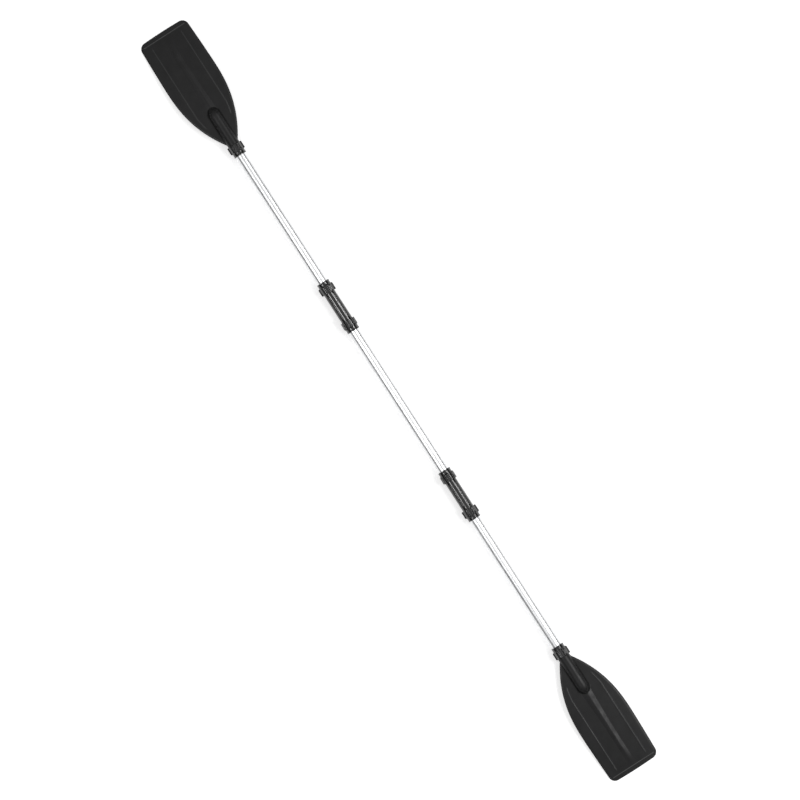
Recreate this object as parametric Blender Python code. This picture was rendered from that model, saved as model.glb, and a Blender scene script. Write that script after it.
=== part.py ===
"""Kayak paddle in five parts: two moulded blades and three aluminium tubes, held by clamp nuts.

X runs along the shaft, Y across the blades, +Z is up.  The paddle lies on the plane z = 0 with the ribbed
backs of its blades up, and the origin is on that plane under the middle of the shaft.  Metres throughout.
"""
import math

import bmesh
import bpy
from mathutils import Vector

# ---- whole paddle -----------------------------------------------------------
PADDLE_LENGTH = 2.300
JOINT_CENTRE = 0.293            # from mid-shaft to the middle of each connector sleeve
BLADE_LENGTH = 0.3525           # from the tip to the step that each blade's nut closes on
GAP = 0.0003                    # between pieces that seat on each other

# ---- tubes and their end plugs ----------------------------------------------
TUBE_RADIUS = 0.014
TUBE_WALL = 0.0012
TUBE_INSERTION = 0.087          # how far a tube goes past the blade's shoulder
PLUG_FLANGE = 0.0012
PLUG_DEPTH = 0.014
PLUG_WALL = 0.0015

# ---- connector sleeve -------------------------------------------------------
SLEEVE_BODY_LENGTH = 0.086      # between the two nuts
SLEEVE_WALL = 0.0015
STOP_STEP = 0.001               # how far the ring that both tubes butt against reaches in past their bore
STOP_WIDTH = 0.002
STOP_PLAY = 0.0005

# ---- threaded ends, shared by sleeves and blades ----------------------------
THREAD_WALL = 0.0012            # under the root of the thread
THREAD_ROOM = 0.0013            # from the root of the thread out to the nut's bore

# ---- clamp nut --------------------------------------------------------------
NUT_LENGTH = 0.032
NUT_LOBES = 6
NUT_WALL = 0.0016               # in the valley between two lobes
NUT_LOBE_HEIGHT = 0.0028        # from the valley to the flat of a lobe
NUT_CREST_WIDTH = 0.007
NUT_NOSE_LENGTH = 0.0105
NUT_NOSE_WALL = 0.0009          # over the heel of the ring
NUT_LIP_HEIGHT = 0.0007
NUT_LIP_WIDTH = 0.0026
NUT_FACE = 0.0022               # thickness of the wall that holds the ring in
NUT_CHAMFER = 0.0009

# ---- split clamp ring -------------------------------------------------------
RING_LENGTH = 0.0082
RING_NOSE_WALL = 0.001
RING_HEEL_WALL = 0.0019
RING_SPLIT_DEGREES = 14

# ---- blade ------------------------------------------------------------------
SOCKET_WALL = 0.00245
SOCKET_END_WALL = 0.0008         # before the boss starts to slope down
BOSS_NOSE = 0.014
BLADE_HALF_WIDTH = 0.0747
WIDEST_FROM_TIP = 0.144         # the widest line, measured back from the tip
ROOT_DROP_POWER = 2.38          # how the outline closes from the widest line to the socket
TIP_NARROWING = 0.0036          # each side, from the widest line to the tip
TIP_CORNER_RADIUS = 0.017
TIP_CROWN = 0.0015
PLATE_THICKNESS = 0.0042
RIM_THICKNESS = 0.0026
TIP_BAND = 0.012                # thinner band along the tip edge
SPINE_HALF_WIDTH = 0.0098       # near the tip
SPINE_HEIGHT = 0.0045
RIB_OFFSET = 0.045              # side ribs, from the centre line
RIB_HALF_WIDTH = 0.002
RIB_HEIGHT = 0.0012
CROSS_CAMBER = 0.003            # how far the edges lie below the middle near the tip
TIP_HEIGHT = 0.0003             # of the tip's corners above the plane that the paddle lies on

ROUND = 32                      # sides of a tube
PLUG_ROUND = 24
RING_STEPS = 24

# ---- worked out from the above ----------------------------------------------
TUBE_BORE = TUBE_RADIUS + GAP
TUBE_INNER = TUBE_RADIUS - TUBE_WALL
SLEEVE_RADIUS = TUBE_BORE + SLEEVE_WALL
SOCKET_RADIUS = TUBE_BORE + SOCKET_WALL
STOP_RADIUS = TUBE_INNER - STOP_STEP
RING_NOSE_RADIUS = TUBE_BORE + RING_NOSE_WALL
RING_HEEL_RADIUS = TUBE_BORE + RING_HEEL_WALL
THREAD_ROOT_RADIUS = TUBE_BORE + THREAD_WALL
THREAD_LENGTH = NUT_LENGTH - NUT_FACE - RING_LENGTH - 3 * GAP
NUT_BORE_RADIUS = THREAD_ROOT_RADIUS + THREAD_ROOM
NUT_VALLEY_RADIUS = NUT_BORE_RADIUS + NUT_WALL
NUT_CREST_RADIUS = NUT_VALLEY_RADIUS + NUT_LOBE_HEIGHT
NUT_NOSE_RADIUS = RING_HEEL_RADIUS + NUT_NOSE_WALL
NUT_LIP_RADIUS = NUT_NOSE_RADIUS + NUT_LIP_HEIGHT
AXIS_HEIGHT = NUT_CREST_RADIUS
THREAD_END = SLEEVE_BODY_LENGTH / 2 + THREAD_LENGTH
BLADE_TIP = PADDLE_LENGTH / 2
BLADE_SHOULDER = BLADE_TIP - BLADE_LENGTH
BLADE_MOUTH = BLADE_SHOULDER - THREAD_LENGTH
BUTT = STOP_WIDTH / 2 + STOP_PLAY + PLUG_FLANGE + GAP
CENTRE_TUBE_END = JOINT_CENTRE - BUTT
OUTER_TUBE_START = JOINT_CENTRE + BUTT
OUTER_TUBE_END = BLADE_SHOULDER + TUBE_INSERTION
SOCKET_BOTTOM = OUTER_TUBE_END + PLUG_FLANGE + 2 * GAP
BOSS_END = SOCKET_BOTTOM + SOCKET_END_WALL
WIDEST = BLADE_TIP - WIDEST_FROM_TIP
CAMBER_START = BLADE_SHOULDER + 0.03
CORNER_INSET = TIP_CORNER_RADIUS * (1 - math.sqrt(0.5))
CORNER_X = BLADE_TIP - TIP_CROWN - CORNER_INSET
CORNER_Y = BLADE_HALF_WIDTH - TIP_NARROWING - CORNER_INSET


def clear_scene():
    for item in list(bpy.data.objects):
        bpy.data.objects.remove(item, do_unlink=True)


def material(name, colour, roughness, metallic=0.0):
    made = bpy.data.materials.new(name)
    made.use_nodes = True
    shader = made.node_tree.nodes["Principled BSDF"]
    shader.inputs["Base Color"].default_value = (*colour, 1.0)
    shader.inputs["Roughness"].default_value = roughness
    shader.inputs["Metallic"].default_value = metallic
    return made


# ---- mesh helpers -----------------------------------------------------------
def even_angles(count):
    return [2 * math.pi * k / count for k in range(count)]


def circle(x, radius, angles):
    """One loop around the X axis; radius is a number or a function of the angle."""
    def size(angle):
        return radius(angle) if callable(radius) else radius
    return [Vector((x, size(a) * math.sin(a), size(a) * math.cos(a))) for a in angles]


def skin(name, loops, ring=False, sharp_degrees=35):
    """Mesh through loops of equal length: a ring joins the last to the first, otherwise both ends close."""
    bm = bmesh.new()
    rows = [[bm.verts.new(point) for point in loop] for loop in loops]
    count = len(rows[0])
    pairs = list(zip(rows, rows[1:]))
    if ring:
        pairs.append((rows[-1], rows[0]))
    for near, far in pairs:
        for k in range(count):
            after = (k + 1) % count
            bm.faces.new((near[k], near[after], far[after], far[k]))
    if not ring:
        bm.faces.new(rows[0])
        bm.faces.new(rows[-1])
    bmesh.ops.recalc_face_normals(bm, faces=bm.faces)
    mesh = bpy.data.meshes.new(name)
    bm.to_mesh(mesh)
    bm.free()
    mesh.shade_smooth()
    mesh.set_sharp_from_angle(angle=math.radians(sharp_degrees))
    return mesh


def turned(name, profile, angles):
    """Round hollow piece: profile is a closed run of (x, radius), outside first, then the bore."""
    return skin(name, [circle(x, radius, angles) for x, radius in profile], ring=True)


def place(name, mesh, look, parent, x=0.0, turn=0.0, roll=0.0):
    """Put a piece on the shaft's axis at x; turn faces it the other way and roll spins it."""
    item = bpy.data.objects.new(name, mesh)
    bpy.context.collection.objects.link(item)
    if not mesh.materials:
        mesh.materials.append(look)
    item.parent = parent
    item.location = (x, 0.0, 0.0)
    item.rotation_euler = (roll, 0.0, turn)
    return item


# ---- tubes ------------------------------------------------------------------
def tube_mesh(name, length):
    """Plain tube from x = 0 to its length."""
    profile = [(0, TUBE_RADIUS), (length, TUBE_RADIUS), (length, TUBE_INNER), (0, TUBE_INNER)]
    return turned(name, profile, even_angles(ROUND))


def plug_mesh():
    """Cup that closes a tube's end: the flange is on x = 0 and the spigot runs towards -X."""
    angles = even_angles(PLUG_ROUND)
    spigot = TUBE_INNER - GAP
    bore = spigot - PLUG_WALL
    loops = [
        circle(0, bore, angles),
        circle(0, TUBE_RADIUS, angles),
        circle(-PLUG_FLANGE, TUBE_RADIUS, angles),
        circle(-PLUG_FLANGE, spigot, angles),
        circle(-PLUG_DEPTH, spigot, angles),
        circle(-PLUG_DEPTH, bore, angles),
        circle(-PLUG_FLANGE, bore, angles),
    ]
    return skin("tube_plug", loops)


# ---- connector --------------------------------------------------------------
def sleeve_mesh():
    """Sleeve with a threaded stretch at each end and a stop ring in the middle of its bore."""
    body = SLEEVE_BODY_LENGTH / 2
    half_stop = STOP_WIDTH / 2
    profile = [
        (-THREAD_END, THREAD_ROOT_RADIUS), (-body, THREAD_ROOT_RADIUS),
        (-body, SLEEVE_RADIUS), (body, SLEEVE_RADIUS),
        (body, THREAD_ROOT_RADIUS), (THREAD_END, THREAD_ROOT_RADIUS),
        (THREAD_END, TUBE_BORE), (half_stop, TUBE_BORE),
        (half_stop, STOP_RADIUS), (-half_stop, STOP_RADIUS),
        (-half_stop, TUBE_BORE), (-THREAD_END, TUBE_BORE),
    ]
    return turned("connector_sleeve", profile, even_angles(ROUND))


def lobe_angles():
    """Angles around the nut: two on each lobe's flat, then down one flank and up the next."""
    half_flat = math.atan2(NUT_CREST_WIDTH / 2, NUT_CREST_RADIUS)
    pitch = 2 * math.pi / NUT_LOBES
    flank = (pitch - 2 * half_flat) / 5
    steps = [-half_flat] + [half_flat + flank * k for k in range(5)]
    return [lobe * pitch + step for lobe in range(NUT_LOBES) for step in steps]


def lobe_radius(angle):
    """Outer radius of the lobed stretch, with the middle of a lobe at angle 0."""
    half_flat = math.atan2(NUT_CREST_WIDTH / 2, NUT_CREST_RADIUS)
    pitch = 2 * math.pi / NUT_LOBES
    off = abs((angle + pitch / 2) % pitch - pitch / 2)
    if off <= half_flat + 1e-6:
        return NUT_CREST_RADIUS / math.cos(off)
    edge = NUT_CREST_RADIUS / math.cos(half_flat)
    share = (off - half_flat) / (pitch / 2 - half_flat)
    return NUT_VALLEY_RADIUS + (edge - NUT_VALLEY_RADIUS) * (1 - min(1.0, share * 1.6)) ** 2


def nut_mesh():
    """Clamp nut from its open end at x = 0 to its nose; six lobes, then a plain nose with a lip."""
    nose = NUT_LENGTH - NUT_NOSE_LENGTH
    lip = NUT_LENGTH - NUT_LIP_WIDTH
    cone_end = NUT_LENGTH - NUT_FACE
    slope = 0.003
    tip_bore = TUBE_BORE + GAP + 0.0001

    def eased(angle):
        return lobe_radius(angle) - NUT_CHAMFER

    angles = lobe_angles()
    loops = [
        circle(0, eased, angles),
        circle(NUT_CHAMFER, lobe_radius, angles),
        circle(nose - slope, lobe_radius, angles),
        circle(nose, NUT_VALLEY_RADIUS - NUT_CHAMFER / 2, angles),
        circle(nose, NUT_NOSE_RADIUS, angles),
        circle(lip, NUT_NOSE_RADIUS, angles),
        circle(lip, NUT_LIP_RADIUS, angles),
        circle(NUT_LENGTH, NUT_LIP_RADIUS, angles),
        circle(NUT_LENGTH, tip_bore, angles),
        circle(cone_end, tip_bore, angles),
        circle(cone_end, RING_NOSE_RADIUS + 2 * GAP, angles),
        circle(cone_end - RING_LENGTH, NUT_BORE_RADIUS, angles),
        circle(0, NUT_BORE_RADIUS, angles),
    ]
    return skin("clamp_nut", loops, ring=True)


def ring_mesh():
    """Split ring, heel at x = 0, that the nut's cone squeezes on to the tube."""
    half_split = math.radians(RING_SPLIT_DEGREES / 2)
    sweep = 2 * math.pi - 2 * half_split
    profile = [
        (0, TUBE_BORE), (0, RING_HEEL_RADIUS), (0.0015, RING_HEEL_RADIUS),
        (RING_LENGTH, RING_NOSE_RADIUS), (RING_LENGTH, TUBE_BORE),
    ]
    loops = []
    for step in range(RING_STEPS + 1):
        angle = half_split + sweep * step / RING_STEPS
        loops.append([Vector((x, r * math.sin(angle), r * math.cos(angle))) for x, r in profile])
    return skin("clamp_ring", loops)


# ---- blade ------------------------------------------------------------------
def smooth(low, high, value):
    share = min(1.0, max(0.0, (value - low) / (high - low)))
    return share * share * (3 - 2 * share)


def blend(first, second, share):
    return first + (second - first) * share


def half_width(x):
    """Half the blade's width at x, from the socket's neck to the tip."""
    tip_half = BLADE_HALF_WIDTH - TIP_NARROWING
    if x < WIDEST:
        span = WIDEST - (BLADE_SHOULDER + 0.0075)
        drop = (BLADE_HALF_WIDTH - SOCKET_RADIUS) * ((WIDEST - x) / span) ** ROOT_DROP_POWER
        return max(SOCKET_RADIUS * 0.997, BLADE_HALF_WIDTH - drop)
    width = blend(BLADE_HALF_WIDTH, tip_half, ((x - WIDEST) / WIDEST_FROM_TIP) ** 1.5)
    corner = x - (BLADE_TIP - TIP_CROWN - TIP_CORNER_RADIUS)
    if corner > 0:
        depth = min(corner, TIP_CORNER_RADIUS)
        width -= TIP_CORNER_RADIUS - math.sqrt(TIP_CORNER_RADIUS ** 2 - depth ** 2)
    return width


def camber_share(x):
    """How far along its curve the plate is at x, from 0 at the socket to 1 at the tip."""
    return max(0.0, (x - CAMBER_START) / (BLADE_TIP - CAMBER_START))


def length_camber():
    """Drop of the plate's middle at the tip that sets the tip's corners down at their height."""
    drop = AXIS_HEIGHT - TIP_HEIGHT - RIM_THICKNESS / 2
    drop -= CROSS_CAMBER * (CORNER_Y / BLADE_HALF_WIDTH) ** 2
    return drop / camber_share(CORNER_X) ** 2


def plate_middle(x, y):
    """Height of the plate's middle surface above the shaft's axis."""
    along = camber_share(x)
    across = (y / BLADE_HALF_WIDTH) ** 2
    return -length_camber() * along ** 2 - CROSS_CAMBER * across * smooth(0, 0.5, along)


def spine_half_width(x):
    return blend(SOCKET_RADIUS, SPINE_HALF_WIDTH, smooth(BLADE_SHOULDER, BLADE_TIP - 0.09, x))


def plate_thickness(x, y, width):
    rim = smooth(0, 0.006, width - abs(y))
    band = smooth(BLADE_TIP - TIP_BAND - 0.002, BLADE_TIP - TIP_BAND, x)
    return blend(RIM_THICKNESS, PLATE_THICKNESS, rim * (1 - band))


def bulge(x, y):
    """Half-round socket about the axis, sloping down to its nose; below the plate where there is none."""
    nose = max(0.0, x - BOSS_END) / BOSS_NOSE
    side = abs(y) / SOCKET_RADIUS
    if nose >= 1 or side >= 1:
        return -AXIS_HEIGHT
    return SOCKET_RADIUS * math.sqrt((1 - nose ** 2) * (1 - side ** 2))


def back_height(x, y, width):
    """Upper surface: plate, spine, socket and side ribs, whichever is highest."""
    plate = plate_middle(x, y) + plate_thickness(x, y, width) / 2
    side = smooth(0, 1, 1 - abs(y) / spine_half_width(x))
    fade = 1 - smooth(BLADE_TIP - 0.06, BLADE_TIP - TIP_BAND - 0.002, x)
    spine = plate + SPINE_HEIGHT * side * fade
    rib = 1 - smooth(0, RIB_HALF_WIDTH, abs(abs(y) - rib_line(x, width)))
    rib *= smooth(0.05, 0.058, width) * (1 - smooth(BLADE_TIP - 0.03, BLADE_TIP - 0.018, x))
    return max(spine, bulge(x, y)) + RIB_HEIGHT * rib


def face_height(x, y, width):
    """Lower surface: plate and the underside of the socket."""
    plate = plate_middle(x, y) - plate_thickness(x, y, width) / 2
    return min(plate, -bulge(x, y))


def spine_edge(x, width):
    """Where the spine's columns end: its foot, or well inside the socket where the blade is still narrow."""
    return blend(0.72 * SOCKET_RADIUS, spine_half_width(x), smooth(0, 0.01, width - SOCKET_RADIUS))


def rib_line(x, width):
    edge = spine_edge(x, width)
    return min(RIB_OFFSET, blend(edge, width, 0.62))


def columns(x, width):
    """Positions across the blade from its middle to one edge, closer together where it bends."""
    edge = spine_edge(x, width)
    rib = rib_line(x, width)
    step = min(RIB_HALF_WIDTH, (width - edge) / 12)
    middle = [edge * share for share in (0, 0.3, 0.58, 0.8, 0.94, 1)]
    outer = [edge + min(0.001, step), rib - step, rib, rib + step]
    return middle + outer + [blend(rib + step, width, 0.6), width - min(0.004, step), width]


def blade_section(x):
    """Closed loop across the blade: over the back from one edge to the other, then under the face."""
    width = half_width(x)
    half = columns(x, width)
    across = [-y for y in reversed(half[1:])] + half
    shift = TIP_CROWN * smooth(BLADE_TIP - 0.05, BLADE_TIP - TIP_CROWN, x)

    def point(y, height):
        crown = shift * (1 - (y / BLADE_HALF_WIDTH) ** 2)
        return Vector((x + crown, y, height(x, y, width)))

    back = [point(y, back_height) for y in across]
    face = [point(y, face_height) for y in reversed(across)]
    return back + face


def blade_rows():
    """Stations along the blade: even steps on the plate, closer at the neck, boss and tip corners."""
    neck = [BLADE_SHOULDER, BLADE_SHOULDER + 0.006]
    flare = [BLADE_SHOULDER + offset for offset in (0.012, 0.020, 0.030, 0.042, 0.056, 0.072)]
    boss = [BOSS_END + BOSS_NOSE * share for share in (-0.1, 0, 0.5, 0.8, 1)]
    plate_start = BOSS_END + BOSS_NOSE + 0.010
    plate_end = BLADE_TIP - 0.050
    plate = [blend(plate_start, plate_end, k / 8) for k in range(9)]
    taper = [BLADE_TIP - offset for offset in (0.032, 0.020)]
    band = [BLADE_TIP - TIP_BAND - 0.002, BLADE_TIP - TIP_BAND]
    start = BLADE_TIP - TIP_CROWN - TIP_CORNER_RADIUS
    corner = [start + TIP_CORNER_RADIUS * math.sin(math.radians(a)) for a in (25, 50, 63, 75, 88)]
    return sorted(neck + flare + boss + plate + taper + band + corner)


def blade_mesh():
    """Blade with its socket and threaded mouth in one moulding, solid until the socket is bored."""
    count = len(blade_section(BLADE_SHOULDER))
    shoulder = blade_section(BLADE_SHOULDER)
    angles = [math.atan2(point.y, point.z) for point in shoulder]
    mouth = [circle(x, THREAD_ROOT_RADIUS, angles) for x in (BLADE_MOUTH, BLADE_SHOULDER)]
    loops = mouth + [blade_section(x) for x in blade_rows()]
    assert all(len(loop) == count for loop in loops)
    return skin("blade", loops, sharp_degrees=40)


def socket_cutter():
    """Solid cylinder that bores the blade's socket to its bottom."""
    angles = even_angles(ROUND)
    cutter = bpy.data.objects.new("socket_bore", skin("socket_bore", [
        circle(BLADE_MOUTH - 0.01, TUBE_BORE, angles),
        circle(SOCKET_BOTTOM, TUBE_BORE, angles),
    ]))
    bpy.context.collection.objects.link(cutter)
    cutter.hide_render = True
    cutter.display_type = "WIRE"
    return cutter


def side_frame(name, turn):
    """Empty on the shaft's axis at mid-shaft; one side of the paddle hangs on it."""
    frame = bpy.data.objects.new(name, None)
    frame.location = (0.0, 0.0, AXIS_HEIGHT)
    frame.rotation_euler = (0.0, 0.0, turn)
    bpy.context.collection.objects.link(frame)
    return frame


def build():
    clear_scene()
    alloy = material("anodised_tube", (0.86, 0.87, 0.88), 0.32, 1.0)
    moulded = material("moulded_blade", (0.030, 0.030, 0.031), 0.42)
    glossy = material("glossy_sleeve", (0.022, 0.022, 0.023), 0.24)
    grip = material("nut_plastic", (0.026, 0.026, 0.027), 0.36)
    acetal = material("ring_acetal", (0.75, 0.75, 0.73), 0.4)
    foam = material("plug_plastic", (0.05, 0.05, 0.05), 0.5)

    centre_length = 2 * CENTRE_TUBE_END
    outer_length = OUTER_TUBE_END - OUTER_TUBE_START
    outer_tube = tube_mesh("outer_tube", outer_length)
    plug = plug_mesh()
    sleeve = sleeve_mesh()
    nut = nut_mesh()
    ring = ring_mesh()
    blade = blade_mesh()
    half_turn = math.pi
    valley_up = math.pi / NUT_LOBES
    nut_open = THREAD_LENGTH - GAP
    ring_heel = GAP

    right = side_frame("right_side", 0.0)
    left = side_frame("left_side", half_turn)
    place("centre_tube", tube_mesh("centre_tube", centre_length), alloy, right, -CENTRE_TUBE_END)

    def clamp(name, side, frame, mouth, facing, roll):
        """Nut and ring on a threaded mouth; facing is +1 where the nut's nose points away from mid-shaft."""
        turn = 0.0 if facing > 0 else half_turn
        place(f"{name}_nut_{side}", nut, grip, frame, mouth - facing * nut_open, turn, roll)
        place(f"{name}_ring_{side}", ring, acetal, frame, mouth + facing * ring_heel, turn)

    for side, frame in (("left", left), ("right", right)):
        place(f"centre_tube_plug_{side}", plug, foam, frame, CENTRE_TUBE_END + PLUG_FLANGE + GAP)
        place(f"connector_sleeve_{side}", sleeve, glossy, frame, JOINT_CENTRE)
        clamp("inner_clamp", side, frame, JOINT_CENTRE - THREAD_END, -1, 0.0)
        clamp("outer_clamp", side, frame, JOINT_CENTRE + THREAD_END, 1, valley_up)
        place(f"outer_tube_{side}", outer_tube, alloy, frame, OUTER_TUBE_START)
        inner_plug = OUTER_TUBE_START - PLUG_FLANGE - GAP
        place(f"outer_tube_inner_plug_{side}", plug, foam, frame, inner_plug, half_turn)
        end_plug = OUTER_TUBE_END + PLUG_FLANGE + GAP
        place(f"outer_tube_end_plug_{side}", plug, foam, frame, end_plug)
        clamp("blade_clamp", side, frame, BLADE_MOUTH, -1, valley_up)
        cutter = socket_cutter()
        cutter.parent = frame
        body = place(f"blade_{side}", blade, moulded, frame)
        bore = body.modifiers.new("socket", "BOOLEAN")
        bore.operation = "DIFFERENCE"
        bore.solver = "EXACT"
        bore.object = cutter


build()
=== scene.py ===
"""Finish and fine shape of the kayak paddle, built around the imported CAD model.

Every piece is made in the CAD model's frame: X along the shaft, Y across the blades, +Z up, metres.
"""
import math

import bmesh
import bpy
import numpy as np
from mathutils import Matrix, Vector


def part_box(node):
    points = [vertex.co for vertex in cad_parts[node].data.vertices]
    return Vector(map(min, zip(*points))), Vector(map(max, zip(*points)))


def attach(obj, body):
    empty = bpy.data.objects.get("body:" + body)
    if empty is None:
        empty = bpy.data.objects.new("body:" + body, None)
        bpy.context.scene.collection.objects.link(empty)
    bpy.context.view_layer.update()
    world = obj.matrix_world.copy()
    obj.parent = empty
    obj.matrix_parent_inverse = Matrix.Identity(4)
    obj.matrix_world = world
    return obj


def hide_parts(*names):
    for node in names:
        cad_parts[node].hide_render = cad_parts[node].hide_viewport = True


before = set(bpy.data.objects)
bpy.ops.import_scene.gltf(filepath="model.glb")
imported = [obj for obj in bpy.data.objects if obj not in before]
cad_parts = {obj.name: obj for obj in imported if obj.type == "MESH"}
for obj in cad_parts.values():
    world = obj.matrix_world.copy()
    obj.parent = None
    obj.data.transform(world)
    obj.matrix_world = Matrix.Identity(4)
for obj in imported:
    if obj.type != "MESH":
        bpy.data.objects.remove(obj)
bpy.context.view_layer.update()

# ---- sizes read from the frame ----------------------------------------------
TUBE_LOW, TUBE_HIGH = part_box("centre_tube")
AXIS_Z = (TUBE_LOW.z + TUBE_HIGH.z) / 2
TUBE_R = (TUBE_HIGH.z - TUBE_LOW.z) / 2
SLEEVE_LOW, SLEEVE_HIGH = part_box("connector_sleeve_right")
SLEEVE_R = (SLEEVE_HIGH.z - SLEEVE_LOW.z) / 2
SLEEVE_HALF = (SLEEVE_HIGH.x - SLEEVE_LOW.x) / 2
NUT_LOW, NUT_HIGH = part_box("outer_clamp_nut_right")
NUT_LENGTH = NUT_HIGH.x - NUT_LOW.x
BLADE_LOW, BLADE_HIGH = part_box("blade_right")
BLADE_MOUTH = BLADE_LOW.x
BLADE_TIP = BLADE_HIGH.x
BLADE_HALF = BLADE_HIGH.y
SOCKET_R = BLADE_HIGH.z - AXIS_Z
FULL_TURN = 2 * math.pi
SIDES = {"left": -1, "right": 1}


# ---- maths ------------------------------------------------------------------
def smooth(low, high, value):
    share = np.clip((value - low) / (high - low), 0, 1)
    return share * share * (3 - 2 * share)


def blend(first, second, share):
    return first + (second - first) * share


def ridge(value, half):
    """Rounded ridge of height 1, from -half to half."""
    return 1 - smooth(0, 1, np.abs(value) / half)


# ---- meshes -----------------------------------------------------------------
MERGE_DISTANCE = 1e-6


def grid_mesh(name, points, wrap_rows=False, sharp=40, cap_first=False, merge=False):
    """Mesh from an array of points [row, column, xyz]; columns close on themselves, and rows may."""
    rows, columns = points.shape[:2]
    row_pairs = [(r, (r + 1) % rows) for r in range(rows if wrap_rows else rows - 1)]
    col_pairs = [(c, (c + 1) % columns) for c in range(columns)]
    faces = [
        (r * columns + c, r * columns + d, s * columns + d, s * columns + c)
        for r, s in row_pairs for c, d in col_pairs
    ]
    if cap_first:
        faces.append(tuple(range(columns)))
    mesh = bpy.data.meshes.new(name)
    mesh.from_pydata(points.reshape(-1, 3).tolist(), [], faces)
    tidy_mesh(mesh, merge)
    mesh.shade_smooth()
    mesh.set_sharp_from_angle(angle=math.radians(sharp))
    return mesh


def tidy_mesh(mesh, merge):
    """Turn every face outwards and, where asked, join the points that lie on each other."""
    bm = bmesh.new()
    bm.from_mesh(mesh)
    if merge:
        bmesh.ops.remove_doubles(bm, verts=bm.verts, dist=MERGE_DISTANCE)
        bmesh.ops.dissolve_degenerate(bm, edges=bm.edges, dist=MERGE_DISTANCE / 10)
    bmesh.ops.recalc_face_normals(bm, faces=bm.faces)
    bm.to_mesh(mesh)
    bm.free()
    mesh.update()


def turned(profile, angles, shape=None):
    """Points round the X axis for a run of (x, radius); shape(x, radius, angles) may alter the radius."""
    rows = []
    for x, radius in profile:
        radii = np.zeros(len(angles)) + radius
        if shape is not None:
            radii = shape(x, radius, angles)
        rows.append(np.stack([np.full(len(angles), x), radii * np.sin(angles), radii * np.cos(angles)], -1))
    return np.array(rows)


def arc(x, radius, size, start, end, steps=4):
    """Run of (x, radius) round a corner whose circle has its centre at x, radius."""
    turn = np.linspace(math.radians(start), math.radians(end), steps + 1)
    return [(x + size * math.cos(t), radius + size * math.sin(t)) for t in turn]


def set_down(name, mesh, look, body, node, side="right", x=0.0, turn=0.0):
    """Put a piece on the shaft's axis, measured from mid-shaft on its side, in place of its CAD node."""
    piece = bpy.data.objects.new(name, mesh)
    bpy.context.collection.objects.link(piece)
    if not mesh.materials:
        mesh.materials.append(look)
    facing = Matrix.Rotation(0.0 if side == "right" else math.pi, 4, "Z")
    here = Matrix.Translation((x, 0, 0)) @ Matrix.Rotation(turn, 4, "Z")
    piece.matrix_world = Matrix.Translation((0, 0, AXIS_Z)) @ facing @ here
    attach(piece, body)
    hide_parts(node)


# ---- materials --------------------------------------------------------------
class Finish:
    """A Principled material and the few nodes that give it grain, tone, scuffs and painted highlights."""

    def __init__(self, name, colour, roughness, metallic=0.0, specular=0.5):
        self.material = bpy.data.materials.new(name)
        self.material.use_nodes = True
        self.tree = self.material.node_tree
        self.shader = self.tree.nodes["Principled BSDF"]
        self.colour = (*colour, 1.0)
        self.shader.inputs["Base Color"].default_value = self.colour
        self.shader.inputs["Roughness"].default_value = roughness
        self.shader.inputs["Metallic"].default_value = metallic
        self.shader.inputs["Specular IOR Level"].default_value = specular
        self.coordinates = self.node("ShaderNodeTexCoord").outputs["Object"]
        self.bump = None

    def node(self, kind, **settings):
        made = self.tree.nodes.new(kind)
        for key, value in settings.items():
            setattr(made, key, value)
        return made

    def link(self, source, target):
        self.tree.links.new(source, target)

    def noise(self, scale, detail=4.0, stretch=(1, 1, 1), roughness=0.55):
        """Noise in the piece's own coordinates; stretch above 1 packs it closer along that axis."""
        mapping = self.node("ShaderNodeMapping")
        mapping.inputs["Scale"].default_value = stretch
        self.link(self.coordinates, mapping.inputs["Vector"])
        texture = self.node("ShaderNodeTexNoise")
        texture.inputs["Scale"].default_value = scale
        texture.inputs["Detail"].default_value = detail
        texture.inputs["Roughness"].default_value = roughness
        self.link(mapping.outputs["Vector"], texture.inputs["Vector"])
        return texture.outputs["Fac"]

    def spread(self, value, low, high, start=0.3, end=0.7):
        """Map a 0 to 1 value between start and end to the range from low to high."""
        made = self.node("ShaderNodeMapRange")
        for key, number in (("From Min", start), ("From Max", end), ("To Min", low), ("To Max", high)):
            made.inputs[key].default_value = number
        self.link(value, made.inputs["Value"])
        return made.outputs["Result"]

    def tone(self, value, other):
        """Mix the base colour towards another where value is 1."""
        mix = self.node("ShaderNodeMix", data_type="RGBA")
        sockets = {socket.identifier: socket for socket in [*mix.inputs, *mix.outputs]}
        base = self.shader.inputs["Base Color"]
        if base.is_linked:
            self.link(base.links[0].from_socket, sockets["A_Color"])
        else:
            sockets["A_Color"].default_value = self.colour
        sockets["B_Color"].default_value = (*other, 1.0)
        self.link(value, sockets["Factor_Float"])
        self.link(sockets["Result_Color"], base)

    def rough(self, value):
        self.link(value, self.shader.inputs["Roughness"])

    def relief(self, value, height):
        """Bump of that height, in metres, on top of any before it."""
        made = self.node("ShaderNodeBump")
        made.inputs["Strength"].default_value = 1.0
        made.inputs["Distance"].default_value = height
        self.link(value, made.inputs["Height"])
        if self.bump:
            self.link(self.bump, made.inputs["Normal"])
        self.bump = made.outputs["Normal"]
        self.link(self.bump, self.shader.inputs["Normal"])

    def attribute(self, name):
        return self.node("ShaderNodeAttribute", attribute_name=name).outputs["Fac"]


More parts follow.
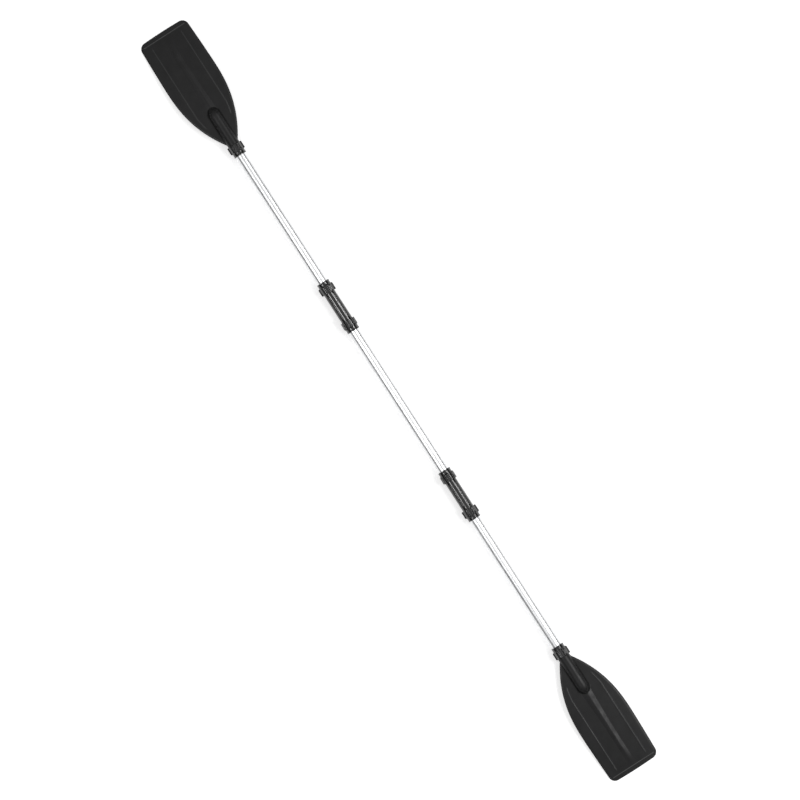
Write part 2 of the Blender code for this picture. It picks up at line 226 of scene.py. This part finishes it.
def plastic(name, colour, worn_and_highlight, roughness, grain, specular=0.5):
    """Moulded plastic: uneven gloss, fine grain, faint flow marks along X, and a lighter colour where
    marked, which is scuffing on the nuts and sleeves and a painted highlight on the blade ridges.
    """
    finish = Finish(name, colour, roughness, specular=specular)
    finish.tone(finish.spread(finish.noise(26, 5), 0.0, 0.06), worn_and_highlight)
    # Marked points take the worn colour: scuffs on nuts and sleeves, a painted highlight along the blade's
    # tip ridge and ribs.
    finish.tone(finish.spread(finish.attribute("wear_and_highlight"), 0.0, 1.0, 0.0, 1.0), worn_and_highlight)
    scratches = finish.spread(finish.noise(90, 3, (1, 14, 14)), 0, 1, 0.70, 0.78)
    finish.tone(finish.spread(scratches, 0.0, 0.20, 0, 1), worn_and_highlight)
    finish.rough(finish.spread(finish.noise(60, 4), roughness * 0.86, roughness * 1.18))
    finish.relief(finish.noise(900, 2), grain)
    finish.relief(finish.noise(14, 3, (0.6, 3, 3)), grain * 2)
    return finish.material


def alloy(name):
    """Satin anodised tube: drawn lines along X, soft gloss changes and light handling marks."""
    finish = Finish(name, (0.80, 0.805, 0.81), 0.34, metallic=1.0, specular=0.5)
    finish.shader.inputs["Anisotropic"].default_value = 0.35
    tangent = finish.node("ShaderNodeTangent", direction_type="RADIAL", axis="X")
    finish.link(tangent.outputs["Tangent"], finish.shader.inputs["Tangent"])
    lines = finish.noise(260, 4, (0.012, 1, 1), 0.7)
    finish.tone(finish.spread(lines, 0.0, 0.40), (0.68, 0.69, 0.71))
    finish.rough(finish.spread(finish.noise(40, 4, (0.2, 1, 1)), 0.30, 0.38))
    finish.relief(lines, 0.00002)
    return finish.material


def acetal(name):
    """Natural acetal: slightly waxy off-white with turning marks."""
    finish = Finish(name, (0.72, 0.72, 0.69), 0.38)
    finish.tone(finish.spread(finish.noise(140, 3), 0.0, 0.5), (0.60, 0.60, 0.57))
    finish.rough(finish.spread(finish.noise(200, 3), 0.32, 0.46))
    finish.relief(finish.noise(700, 2, (3, 1, 1)), 0.00003)
    return finish.material


# On the blade the worn colour serves mostly as a painted highlight along the tip ridge and ribs, and also
# for scratches and mottling.
BLADE_PLASTIC = plastic(
    "blade_moulding", colour=(0.010, 0.010, 0.0102), worn_and_highlight=(0.090, 0.090, 0.091),
    roughness=0.40, grain=0.00003, specular=0.25,
)
SLEEVE_PLASTIC = plastic(
    "sleeve_gloss", colour=(0.005, 0.005, 0.0052), worn_and_highlight=(0.020, 0.020, 0.021),
    roughness=0.19, grain=0.000004, specular=0.78,
)
NUT_PLASTIC = plastic(
    "nut_gloss", colour=(0.005, 0.005, 0.0052), worn_and_highlight=(0.024, 0.024, 0.025),
    roughness=0.21, grain=0.000006, specular=0.78,
)
PLUG_PLASTIC = plastic(
    "plug_moulding", colour=(0.020, 0.020, 0.021), worn_and_highlight=(0.050, 0.050, 0.050),
    roughness=0.5, grain=0.00002,
)
TUBE_ALLOY = alloy("tube_satin_alloy")
RING_ACETAL = acetal("ring_acetal")


def mark_wear_and_highlight(mesh, values):
    """Store how much lighter each point is painted, from 0 to 1: scuffing on the nuts and sleeves, a
    painted highlight on the blade ridges.
    """
    attribute = mesh.attributes.new("wear_and_highlight", "FLOAT", "POINT")
    attribute.data.foreach_set("value", np.asarray(values, np.float32).ravel())


# ---- tubes ------------------------------------------------------------------
TUBE_WALL = 0.0012
TUBE_EDGE = 0.0003              # radius that breaks the cut ends
TUBE_SIDES = 96


def tube_mesh(name, length):
    """Drawn tube from x = 0 to its length, its cut ends broken by a small radius."""
    edge = TUBE_EDGE
    outer = TUBE_R
    inner = TUBE_R - TUBE_WALL
    profile = arc(edge, outer - edge, edge, 180, 90)
    profile += [(length * share, outer) for share in np.linspace(0.02, 0.98, 24)]
    profile += arc(length - edge, outer - edge, edge, 90, 0)
    profile += arc(length - edge, inner + edge, edge, 0, -90)
    profile += arc(edge, inner + edge, edge, -90, -180)
    angles = np.linspace(0, FULL_TURN, TUBE_SIDES, endpoint=False)
    return grid_mesh(name, turned(profile, angles), wrap_rows=True)


def make_tubes():
    length = TUBE_HIGH.x - TUBE_LOW.x
    mesh = tube_mesh("shaft_centre", length)
    set_down("shaft_centre", mesh, TUBE_ALLOY, "centre_shaft", "centre_tube", x=TUBE_LOW.x)
    low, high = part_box("outer_tube_right")
    outer = tube_mesh("shaft_outer", high.x - low.x)
    for side in SIDES:
        body = f"outer_shaft_{side}"
        name = f"shaft_outer_{side}"
        set_down(name, outer, TUBE_ALLOY, body, f"outer_tube_{side}", side, low.x)


# ---- threads, shared by sleeves and blade mouths ----------------------------
THREAD_ROOT_R = 0.0155
THREAD_HEIGHT = 0.0008
THREAD_PITCH = 0.004
THREAD_LENGTH = 0.0207
THREAD_STATIONS = 84
BORE_CLEARANCE = 0.0003
BORE_R = TUBE_R + BORE_CLEARANCE


def thread_radius(from_mouth, x, angles):
    """Radius of a rounded right-hand thread; it starts and ends softly."""
    phase = x / THREAD_PITCH - angles / FULL_TURN
    wave = np.abs((phase % 1.0) - 0.5) * 2
    crest = smooth(0.35, 0.75, 1 - wave)
    start = smooth(0.0005, 0.003, from_mouth)
    end = smooth(THREAD_LENGTH - 0.004, THREAD_LENGTH - 0.0015, from_mouth)
    return THREAD_ROOT_R + THREAD_HEIGHT * crest * (start * (1 - end))


def threaded(first, last, mouth, angles):
    """Rows of points along a threaded neck from first to last; its open end is at mouth."""
    stations = np.linspace(first, last, THREAD_STATIONS)
    return [turned([(x, thread_radius(abs(x - mouth), x, angles))], angles)[0] for x in stations]


# ---- connector sleeves ------------------------------------------------------
SLEEVE_SIDES = 288
SLEEVE_BODY_HALF = SLEEVE_HALF - THREAD_LENGTH
SLEEVE_FLUTES = 40
FLUTE_DEPTH = 0.00022
FLUTE_FADE = (0.010, 0.006)             # from the body's ends, where the flutes start and finish fading
PANEL_HALF_ANGLE = math.radians(24)     # smooth bare panels between the fluted flanks
SLEEVE_EDGE = 0.0005
STOP_HALF = 0.001                       # half the stop ring's length
STOP_R = 0.0118
SHOULDER_WEAR = 0.4


def sleeve_radius(x, radius, angles):
    """Outer surface of the sleeve's body: fine flutes on its flanks, fading towards both ends."""
    off_panel = np.abs((angles + math.pi / 2) % math.pi - math.pi / 2)
    flank = smooth(PANEL_HALF_ANGLE, PANEL_HALF_ANGLE + 0.05, off_panel)
    waves = 0.5 + 0.5 * np.cos(SLEEVE_FLUTES * angles)
    ends = 1 - smooth(SLEEVE_BODY_HALF - FLUTE_FADE[0], SLEEVE_BODY_HALF - FLUTE_FADE[1], abs(x))
    return radius - FLUTE_DEPTH * waves * flank * ends


def sleeve_mesh():
    """Sleeve about x = 0: fluted body, threaded mouths and a stop ring half-way down its bore."""
    body = SLEEVE_BODY_HALF
    edge = SLEEVE_EDGE
    angles = np.linspace(0, FULL_TURN, SLEEVE_SIDES, endpoint=False)
    rows = threaded(-SLEEVE_HALF, -body, -SLEEVE_HALF, angles)
    shoulder = arc(-body + edge, SLEEVE_R - edge, edge, 180, 90)
    middle = [(x, SLEEVE_R) for x in np.linspace(-body + 0.003, body - 0.003, 40)]
    other = [(-x, r) for x, r in reversed(shoulder)]
    rows += list(turned(shoulder + middle + other, angles, sleeve_radius))
    rows += threaded(body, SLEEVE_HALF, SLEEVE_HALF, angles)
    bore = arc(SLEEVE_HALF - edge, BORE_R + edge, edge, 0, -90)
    bore += [(STOP_HALF, BORE_R), (STOP_HALF, STOP_R), (-STOP_HALF, STOP_R), (-STOP_HALF, BORE_R)]
    bore += arc(-SLEEVE_HALF + edge, BORE_R + edge, edge, -90, -180)
    rows += list(turned(bore, angles))
    mesh = grid_mesh("sleeve", np.array(rows), wrap_rows=True)
    reach = np.array([abs(v.co.x) for v in mesh.vertices])
    mark_wear_and_highlight(mesh, smooth(body - 0.002, body, reach) * SHOULDER_WEAR)
    return mesh


def make_sleeves():
    mesh = sleeve_mesh()
    middle = (SLEEVE_LOW.x + SLEEVE_HIGH.x) / 2
    for side in SIDES:
        name = f"sleeve_body_{side}"
        body = f"sleeve_{side}"
        node = f"connector_sleeve_{side}"
        set_down(name, mesh, SLEEVE_PLASTIC, body, node, side, middle)


# ---- clamp nuts and rings ---------------------------------------------------
NUT_LOBES = 6
NUT_CREST_R = AXIS_Z
NUT_CREST_HALF = 0.0035
NUT_VALLEY_R = 0.0184
NUT_NOSE = 0.0215               # where the lobes end and the nose starts, from the open end
NUT_NOSE_R = 0.0171
NUT_LIP_R = 0.0178
NUT_BORE_R = 0.0168
NUT_LIP = 0.0026                # length of the lip round the closed end
NUT_LIP_EDGE = 0.0008
NUT_FACE = 0.0022               # thickness of the closed end
NUT_SIDES = 240
OPEN_EDGE = 0.0012              # length of the rounding at the open end
OPEN_EDGE_DEPTH = 0.0009
LOBE_SLOPE = (NUT_NOSE - 0.0022, NUT_NOSE - 0.0003)
GRIP_GROOVE = (0.00025, 0.065, 0.035)   # depth, and angles of its middle off the lobe's and half its width
THREAD_GROOVE = 0.0005
CREST_WEAR = 0.3
RING_LENGTH = 0.0082
RING_HEEL_R = 0.0162
RING_NOSE_R = 0.0153
RING_HEEL = 0.0015              # length of the ring's full-height heel
RING_EDGE = 0.0003
RING_SPLIT = math.radians(14)
RING_SECTIONS = 121


def lobe(angles):
    """1 on a lobe's flat crest and 0 in the valley between two, with rounded shoulders."""
    pitch = FULL_TURN / NUT_LOBES
    off = np.abs((angles + pitch / 2) % pitch - pitch / 2)
    half = math.atan2(NUT_CREST_HALF, NUT_CREST_R)
    return 1 - smooth(half * 0.92, half + 0.17, off)


def nut_radius(x, radius, angles):
    """Adds the grooved lobes to the outer rows; they slope down to the nose and have a round start."""
    slope = smooth(*LOBE_SLOPE, x)
    start = 1 - smooth(0, OPEN_EDGE, x)
    pitch = FULL_TURN / NUT_LOBES
    off = (angles + pitch / 2) % pitch - pitch / 2
    crest = np.minimum(NUT_CREST_R / np.cos(off), NUT_CREST_R + 0.00018)
    depth, aside, half = GRIP_GROOVE
    grooves = depth * (ridge(off - aside, half) + ridge(off + aside, half))
    grooves *= smooth(0.0015, 0.003, x) * (1 - smooth(0.014, 0.0165, x))
    height = (crest - NUT_VALLEY_R - grooves) * lobe(angles) * (1 - slope)
    return radius + height - OPEN_EDGE_DEPTH * start ** 2 * (0.3 + 0.7 * lobe(angles))


def nut_mesh():
    """Nut from its open end at x = 0 to the lip of its nose, with a grooved thread in its bore."""
    angles = np.linspace(0, FULL_TURN, NUT_SIDES, endpoint=False)
    stations = [*np.linspace(0, OPEN_EDGE, 6), *np.linspace(0.0016, LOBE_SLOPE[0] - 0.0002, 26)]
    stations += [*np.linspace(*LOBE_SLOPE, 12)]
    outer = turned([(x, NUT_VALLEY_R) for x in stations], angles, nut_radius)
    lip = NUT_LENGTH - NUT_LIP
    edge = NUT_LIP_EDGE
    nose = [(NUT_NOSE - 0.0001, NUT_VALLEY_R - 0.0004), (NUT_NOSE + 0.0002, NUT_NOSE_R + 0.0003)]
    nose += arc(NUT_NOSE + 0.0008, NUT_NOSE_R + 0.0005, 0.0005, 180, 270)
    nose += [(x, NUT_NOSE_R) for x in np.linspace(NUT_NOSE + 0.002, lip - 0.0016, 5)]
    nose += [(lip - 0.0006, NUT_NOSE_R + 0.0001), (lip, NUT_LIP_R - 0.0002), (lip + 0.0004, NUT_LIP_R)]
    nose += arc(NUT_LENGTH - edge, NUT_LIP_R - edge, edge, 90, 0, 6)
    face = BORE_R + 0.0004
    cone_end = NUT_LENGTH - NUT_FACE
    cone_start = cone_end - RING_LENGTH
    nose += arc(NUT_LENGTH - 0.0004, face + 0.0004, 0.0004, 0, -90)
    nose += [(cone_end, face), (cone_end, RING_NOSE_R + 0.0006), (cone_start, NUT_BORE_R)]
    inner = []
    for x in np.linspace(cone_start - 0.001, 0.001, 60):
        groove = 1 - np.abs(((x / THREAD_PITCH - angles / FULL_TURN) % 1.0) - 0.5) * 2
        depth = THREAD_GROOVE * smooth(0.3, 0.7, groove) * smooth(0.001, 0.003, x)
        inner.append(turned([(x, NUT_BORE_R + depth)], angles)[0])
    rows = list(outer) + list(turned(nose, angles)) + inner
    rows += list(turned([(0.0002, NUT_BORE_R + 0.0003)], angles))
    mesh = grid_mesh("nut", np.array(rows), wrap_rows=True, sharp=50)
    reach = np.array([math.hypot(v.co.y, v.co.z) for v in mesh.vertices])
    mark_wear_and_highlight(mesh, smooth(NUT_CREST_R - 0.0002, NUT_CREST_R + 0.0002, reach) * CREST_WEAR)
    return mesh


def ring_mesh():
    """Ring with a tapered nose, swept from one side of its split round to the other."""
    angles = np.linspace(RING_SPLIT / 2, FULL_TURN - RING_SPLIT / 2, RING_SECTIONS)
    edge = RING_EDGE
    outline = arc(edge, BORE_R + edge, edge, 270, 180, 3)
    outline += arc(edge, RING_HEEL_R - edge, edge, 180, 90, 3)
    outline += [(RING_HEEL, RING_HEEL_R)]
    outline += arc(RING_LENGTH - edge, RING_NOSE_R - edge, edge, 80, 0, 3)
    outline += arc(RING_LENGTH - edge, BORE_R + edge, edge, 0, -90, 3)
    sections = [[(x, r * math.sin(a), r * math.cos(a)) for x, r in outline] for a in angles]
    mesh = grid_mesh("ring", np.array(sections), sharp=35)
    close_ends(mesh, len(outline))
    return mesh


def close_ends(mesh, count):
    """Close the first and the last section of a swept mesh."""
    bm = bmesh.new()
    bm.from_mesh(mesh)
    bm.verts.ensure_lookup_table()
    total = len(bm.verts)
    bm.faces.new(bm.verts[0:count])
    bm.faces.new(bm.verts[total - count:total])
    bmesh.ops.recalc_face_normals(bm, faces=bm.faces)
    bm.to_mesh(mesh)
    bm.free()


def make_clamps():
    """Six nuts with their rings; inner nuts lie with a lobe up, the others with a valley up."""
    lobe_up = nut_mesh()
    valley_up = lobe_up.copy()
    valley_up.transform(Matrix.Rotation(math.pi / NUT_LOBES, 4, "X"))
    ring = ring_mesh()
    clamps = (("inner", False, lobe_up), ("outer", True, valley_up), ("blade", False, valley_up))
    for clamp, nose_out, nut in clamps:
        low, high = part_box(f"{clamp}_clamp_nut_right")
        ring_low, ring_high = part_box(f"{clamp}_clamp_ring_right")
        turn = 0.0 if nose_out else math.pi
        nut_x = low.x if nose_out else high.x
        ring_x = ring_low.x if nose_out else ring_high.x
        for side in SIDES:
            body = f"{clamp}_clamp_nut_{side}"
            name = f"{clamp}_nut_{side}"
            set_down(name, nut, NUT_PLASTIC, body, body, side, nut_x, turn)
            body = f"{clamp}_clamp_ring_{side}"
            name = f"{clamp}_ring_{side}"
            set_down(name, ring, RING_ACETAL, body, body, side, ring_x, turn)


# ---- blades -----------------------------------------------------------------
SHOULDER = BLADE_MOUTH + THREAD_LENGTH
SEAT_GAP = 0.0003
SOCKET_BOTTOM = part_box("outer_tube_end_plug_right")[1].x + SEAT_GAP
BOSS_END = SOCKET_BOTTOM + 0.0008
BOSS_NOSE = 0.024
BOSS_FILLET = 0.0060
LEAST_FILLET = 0.0003
MOUTH_EDGE = 0.0004
WIDEST_FROM_TIP = 0.144
WIDEST = BLADE_TIP - WIDEST_FROM_TIP
ROOT_DROP_POWER = 2.38
TIP_NARROWING = 0.0036
TIP_CORNER_R = 0.017
TIP_CROWN = 0.0015
PLATE = 0.0042
RIM = 0.0026
RIM_ROUNDING = 0.0013
TIP_BAND = 0.012
SPINE_HALF = 0.0098
SPINE_SLOPE = 0.36
SPINE_END = BLADE_TIP - 0.075           # where the spine starts to run out
RIB_OFFSET = 0.045
RIB_HALF = 0.0022
RIB_HEIGHT = 0.0008
RIB_START = (0.050, 0.056)              # half widths of the blade between which the ribs rise
RIB_END = (BLADE_TIP - 0.030, BLADE_TIP - 0.020)
# Strength of the painted highlight along the side ribs, against the tip ridge's full one.
RIB_PAINTED_HIGHLIGHT = 0.28
CROSS_CAMBER = 0.003
CAMBER_START = SHOULDER + 0.03
TIP_DROP = AXIS_Z - 0.0003 - RIM / 2
TIP_RIDGE = BLADE_TIP - TIP_BAND - 0.0006
TIP_RIDGE_HALF = 0.0018
TIP_RIDGE_HEIGHT = 0.0007


def half_width(x):
    """Half the blade's width at each x, from the socket's neck to the tip."""
    span = WIDEST - (SHOULDER + 0.0075)
    root = BLADE_HALF - (BLADE_HALF - SOCKET_R) * (np.maximum(WIDEST - x, 0) / span) ** ROOT_DROP_POWER
    outer = BLADE_HALF - TIP_NARROWING * (np.maximum(x - WIDEST, 0) / WIDEST_FROM_TIP) ** 1.5
    corner = np.clip(x - (BLADE_TIP - TIP_CROWN - TIP_CORNER_R), 0, TIP_CORNER_R)
    outer = outer - (TIP_CORNER_R - np.sqrt(TIP_CORNER_R ** 2 - corner ** 2))
    return np.maximum(SOCKET_R * 0.9985, np.where(x < WIDEST, root, outer))


def plate_middle(x, y):
    """Height of the plate's middle surface above the shaft's axis."""
    along = np.clip((x - CAMBER_START) / (BLADE_TIP - CAMBER_START), 0, 1)
    inset = TIP_CORNER_R * (1 - math.sqrt(0.5))
    edge = (BLADE_HALF - TIP_NARROWING - inset) / BLADE_HALF
    corner = (BLADE_TIP - TIP_CROWN - inset - CAMBER_START) / (BLADE_TIP - CAMBER_START)
    drop = (TIP_DROP - CROSS_CAMBER * edge ** 2) / corner ** 2
    return -drop * along ** 2 - CROSS_CAMBER * (y / BLADE_HALF) ** 2 * smooth(0, 0.5, along)


def spine_half(x):
    """Half the spine's width, from the socket's at the shoulder down to its own."""
    return blend(SOCKET_R, SPINE_HALF, smooth(SHOULDER, BLADE_TIP - 0.09, x))


def rim_distance(x, y, width):
    """Distance in from the blade's outline, good close to the outline and near enough inside it."""
    return np.minimum(width - np.abs(y), BLADE_TIP - x)


def plate_half(x, y, width):
    """Half the plate's thickness, thinner along the rim and the tip band, round at the outline."""
    inside = np.maximum(rim_distance(x, y, width), 0)
    body = smooth(0.0012, 0.0060, inside)
    band = smooth(BLADE_TIP - TIP_BAND - 0.0016, BLADE_TIP - TIP_BAND, x)
    half = blend(RIM, PLATE, body * (1 - band)) / 2
    near = np.clip(inside / RIM_ROUNDING, 0, 1)
    return half * np.sqrt(np.maximum(1 - (1 - near) ** 2, 0))


def bulge(x, y):
    """Half-round socket about the axis, with a rounded nose; outside its outline it dives below."""
    nose = np.maximum((x - BOSS_END) / BOSS_NOSE, 0)
    rest = 1 - nose ** 2 - (y / SOCKET_R) ** 2
    return SOCKET_R * np.sign(rest) * np.sqrt(np.abs(rest))


def soft_max(first, second, blur):
    """The larger of two heights, with a fillet of about that size where they cross."""
    gap = np.clip(0.5 + 0.5 * (first - second) / blur, 0, 1)
    return blend(second, first, gap) + blur * gap * (1 - gap) * (np.abs(first - second) < blur)


def fillet(x, y, width):
    """Fillet round the socket, fading out towards the blade's edge and beyond the socket's nose."""
    near = 1 - smooth(BOSS_END + BOSS_NOSE, BOSS_END + 2 * BOSS_NOSE, x)
    return LEAST_FILLET + BOSS_FILLET * near * smooth(0.0, 0.008, width - np.abs(y))


def rib_line(x, width):
    """Distance of each side rib from the blade's middle line."""
    return np.minimum(RIB_OFFSET, blend(spine_edge(x, width), width, 0.62))


def spine_edge(x, width):
    """Distance of the spine's foot from the blade's middle line."""
    return blend(0.72 * SOCKET_R, spine_half(x), smooth(0, 0.01, width - SOCKET_R))


def rib_crest(x, y, width):
    """1 along the crest of a side rib, and 0 beside it and past its ends."""
    crest = ridge(np.abs(y) - rib_line(x, width), RIB_HALF)
    return crest * smooth(*RIB_START, width) * (1 - smooth(*RIB_END, x))


def tip_crest(x, y, width):
    """1 along the crest of the ridge that crosses the tip, and 0 beside it and at its ends."""
    return ridge(x - TIP_RIDGE, TIP_RIDGE_HALF) * smooth(0.004, 0.009, width - np.abs(y))


def back_height(x, y, width):
    """Upper surface: plate with its spine, side ribs and tip ridge, and the socket."""
    half = plate_half(x, y, width)
    plate = plate_middle(x, y) + half
    whole = smooth(0.0, 0.4, half / (RIM / 2))
    taper = 1 - smooth(SPINE_END, BLADE_TIP - TIP_BAND - 0.003, x)
    side = np.sqrt((y / spine_half(x)) ** 2 + 0.03)
    spine = SPINE_SLOPE * spine_half(x) * np.maximum(1 - side, 0) * taper
    rib = RIB_HEIGHT * rib_crest(x, y, width)
    tip = TIP_RIDGE_HEIGHT * tip_crest(x, y, width)
    surface = plate + (spine + rib + tip) * whole
    return soft_max(bulge(x, y), surface, fillet(x, y, width))


def face_height(x, y, width):
    """Lower surface: the smooth power face, with the underside of the socket."""
    plate = plate_middle(x, y) - plate_half(x, y, width)
    return -soft_max(bulge(x, y), -plate, fillet(x, y, width))


def blade_columns(x, width):
    """Positions across one half of the blade, middle first, close together on spine, rib and rim."""
    edge = spine_edge(x, width)
    rib = rib_line(x, width)
    step = np.minimum(RIB_HALF * 1.1, (width - edge) / 12)
    rim = np.minimum(0.0055, step * 2.5)
    spans = [(0.0, edge, np.sin(np.linspace(0, math.pi / 2, 15)))]
    spans.append((edge, rib - step, np.linspace(0, 1, 9)[1:]))
    spans.append((rib - step, rib + step, np.linspace(0, 1, 9)[1:]))
    spans.append((rib + step, width - rim, np.linspace(0, 1, 8)[1:]))
    spans.append((width - rim, width, 1 - (1 - np.linspace(0, 1, 15)[1:]) ** 2.2))
    return np.concatenate([low + (high - low) * share for low, high, share in spans])


def blade_loop(x):
    """Closed loop across the blade: over the back from edge to edge, then under the face."""
    width = float(half_width(np.array(x)))
    half = blade_columns(x, width)
    across = np.concatenate([-half[:0:-1], half])
    crown = TIP_CROWN * smooth(BLADE_TIP - 0.05, BLADE_TIP - TIP_CROWN, x)
    shift = crown * (1 - (across / BLADE_HALF) ** 2)
    place = x + shift
    measured = np.minimum(place, BLADE_TIP) + crown - shift
    back = np.stack([place, across, back_height(measured, across, width)], -1)
    face = np.stack([place, across, face_height(measured, across, width)], -1)
    return np.concatenate([back, face[::-1][1:-1]])


def blade_stations():
    """Places of the loops along the blade, close together on the socket's nose and the tip's corners."""
    boss = np.linspace(SHOULDER + 0.0004, BOSS_END, 44)
    nose = BOSS_END + BOSS_NOSE * np.sin(np.linspace(0, math.pi / 2, 12)[1:])
    plate = np.linspace(BOSS_END + BOSS_NOSE + 0.003, BLADE_TIP - 0.034, 56)
    near = np.arange(BLADE_TIP - 0.032, BLADE_TIP - 0.0192, 0.0016)
    start = BLADE_TIP - TIP_CROWN - TIP_CORNER_R
    corner = start + TIP_CORNER_R * np.sin(np.radians(np.linspace(2, 90, 44)))
    return np.concatenate([boss, nose, plate, near, corner])


def blade_mesh():
    """Blade with its socket and threaded mouth in one skin, from the socket's bottom round to the tip."""
    loops = [blade_loop(x) for x in blade_stations()]
    angles = np.arctan2(loops[0][:, 1], loops[0][:, 2])
    bore = [(SOCKET_BOTTOM, BORE_R)]
    bore += [(x, BORE_R) for x in np.linspace(SOCKET_BOTTOM - 0.01, BLADE_MOUTH + 0.004, 8)]
    bore += arc(BLADE_MOUTH + MOUTH_EDGE, BORE_R + MOUTH_EDGE, MOUTH_EDGE, 270, 180)
    rows = list(turned(bore, angles))
    rows += threaded(BLADE_MOUTH, SHOULDER - 0.0001, BLADE_MOUTH, angles)
    rows += list(turned([(SHOULDER, SOCKET_R - 0.0005), (SHOULDER + 0.0002, SOCKET_R - 0.0001)], angles))
    points = np.array(rows + loops)
    mesh = grid_mesh("blade", points, sharp=48, cap_first=True, merge=True)
    x, y, z = np.array([v.co for v in mesh.vertices]).T
    # Painted highlight: the tip ridge and ribs on the back are painted lighter through the marked
    # attribute.
    on_back = z > plate_middle(x, y)
    mark_wear_and_highlight(mesh, ridge_painted_highlight(x, y, half_width(x)) * on_back)
    return mesh


def ridge_painted_highlight(x, y, width):
    """Painted highlight: the tip ridge is painted light along its crest, and the ribs a little."""
    return np.maximum(RIB_PAINTED_HIGHLIGHT * rib_crest(x, y, width), tip_crest(x, y, width))


def make_blades():
    mesh = blade_mesh()
    for side in SIDES:
        name = f"blade_moulding_{side}"
        set_down(name, mesh, BLADE_PLASTIC, f"blade_{side}", f"blade_{side}", side)


def finish_plugs():
    """The tube plugs keep their CAD shape and take the plug's plastic."""
    for name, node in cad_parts.items():
        if "plug" in name:
            node.data.materials.clear()
            node.data.materials.append(PLUG_PLASTIC)


# ---- floor, light and camera ------------------------------------------------
CAMERA_RIGHT = Vector((0.5415, 0.8407, 0.0))    # the shaft runs down to the right in the picture
CAMERA_UP = Vector((-0.8407, 0.5415, 0.0))
CAMERA_DISTANCE = 15.0
CAMERA_SEES_TO = 100.0
PICTURE_WIDTH = 2.0965
SENSOR = 36.0
PICTURE_OFFSET = (0.0033, 0.0015)               # of the picture's middle from mid-shaft, right and up
LIGHT_DISTANCE = 4.0
OVER_SHAFT = (-0.75, 0.42)                      # reaches of the lights along X
OVER_BLADE = (1.12, 1.85)
SKY = ((0.46, 0.02), (0.68, 0.46), (0.82, 0.56))    # place on the ramp from nadir to zenith, and brightness
FLOOR_REACH = 30.0
FLOOR_DROP = 0.0002                             # keeps the floor clear of the lobes that lie on it
FLOOR_GLOW = 0.45


def make_camera():
    data = bpy.data.cameras.new("camera")
    data.lens = SENSOR * CAMERA_DISTANCE / PICTURE_WIDTH
    data.sensor_width = SENSOR
    data.clip_end = CAMERA_SEES_TO
    camera = bpy.data.objects.new("camera", data)
    bpy.context.collection.objects.link(camera)
    turn = Matrix((CAMERA_RIGHT, CAMERA_UP, Vector((0, 0, 1)))).transposed()
    place = CAMERA_RIGHT * PICTURE_OFFSET[0] + CAMERA_UP * PICTURE_OFFSET[1]
    place.z = AXIS_Z + CAMERA_DISTANCE
    camera.matrix_world = Matrix.Translation(place) @ turn.to_4x4()
    bpy.context.scene.camera = camera


def strip_light(name, lean_degrees, reach, width, brightness):
    """Long soft light above the paddle, over that reach of X; it leans from straight up towards +Y."""
    start, end = reach
    data = bpy.data.lights.new(name, "AREA")
    data.shape = "RECTANGLE"
    data.size = end - start
    data.size_y = width
    data.energy = brightness * math.pi * data.size * data.size_y
    light = bpy.data.objects.new(name, data)
    bpy.context.collection.objects.link(light)
    lean = math.radians(lean_degrees)
    away = Vector((0, math.sin(lean), math.cos(lean)))
    place = away * LIGHT_DISTANCE + Vector(((start + end) / 2, 0, 0))
    light.matrix_world = Matrix.Translation(place) @ light_turn(away)


def light_turn(away):
    """Turn that points a lamp back along away and keeps its long side on X."""
    side = Vector((1, 0, 0))
    up = away.cross(side).normalized()
    return Matrix((side, up, away)).transposed().to_4x4()


def make_lights():
    strip_light("key_strip", 40, OVER_SHAFT, width=0.5, brightness=22.0)
    strip_light("fill_strip", -30, OVER_SHAFT, width=0.5, brightness=17.0)
    strip_light("blade_strip", 34, OVER_BLADE, width=1.8, brightness=13.0)


def make_sky():
    """World light that is dark below and round the horizon and pale overhead."""
    world = bpy.data.worlds.new("studio")
    bpy.context.scene.world = world
    world.use_nodes = True
    tree = world.node_tree
    background = tree.nodes["Background"]
    coordinates = tree.nodes.new("ShaderNodeTexCoord")
    split = tree.nodes.new("ShaderNodeSeparateXYZ")
    ramp = tree.nodes.new("ShaderNodeValToRGB")
    tree.links.new(coordinates.outputs["Generated"], split.inputs["Vector"])
    tree.links.new(split.outputs["Z"], ramp.inputs["Fac"])
    tree.links.new(ramp.outputs["Color"], background.inputs["Color"])
    stops = ramp.color_ramp.elements
    for place, tone in SKY:
        stops.new(place).color = (tone, tone, tone, 1)
    stops[0].color = stops[1].color
    stops[-1].color = stops[-2].color


def make_floor():
    mesh = bpy.data.meshes.new("floor")
    reach = FLOOR_REACH
    corners = [(-reach, -reach, 0), (reach, -reach, 0), (reach, reach, 0), (-reach, reach, 0)]
    mesh.from_pydata(corners, [], [(0, 1, 2, 3)])
    floor = bpy.data.objects.new("floor", mesh)
    floor.location.z = -FLOOR_DROP
    bpy.context.collection.objects.link(floor)
    finish = Finish("pale_floor", (0.93, 0.93, 0.93), 0.9, specular=0.1)
    finish.tone(finish.spread(finish.noise(2, 2), 0.0, 0.2), (0.91, 0.91, 0.91))
    finish.shader.inputs["Emission Color"].default_value = (1, 1, 1, 1)
    finish.shader.inputs["Emission Strength"].default_value = FLOOR_GLOW
    mesh.materials.append(finish.material)


make_camera()
make_lights()
make_sky()
make_floor()
make_tubes()
make_sleeves()
make_clamps()
make_blades()
finish_plugs()
bpy.context.scene.view_settings.view_transform = "Standard"
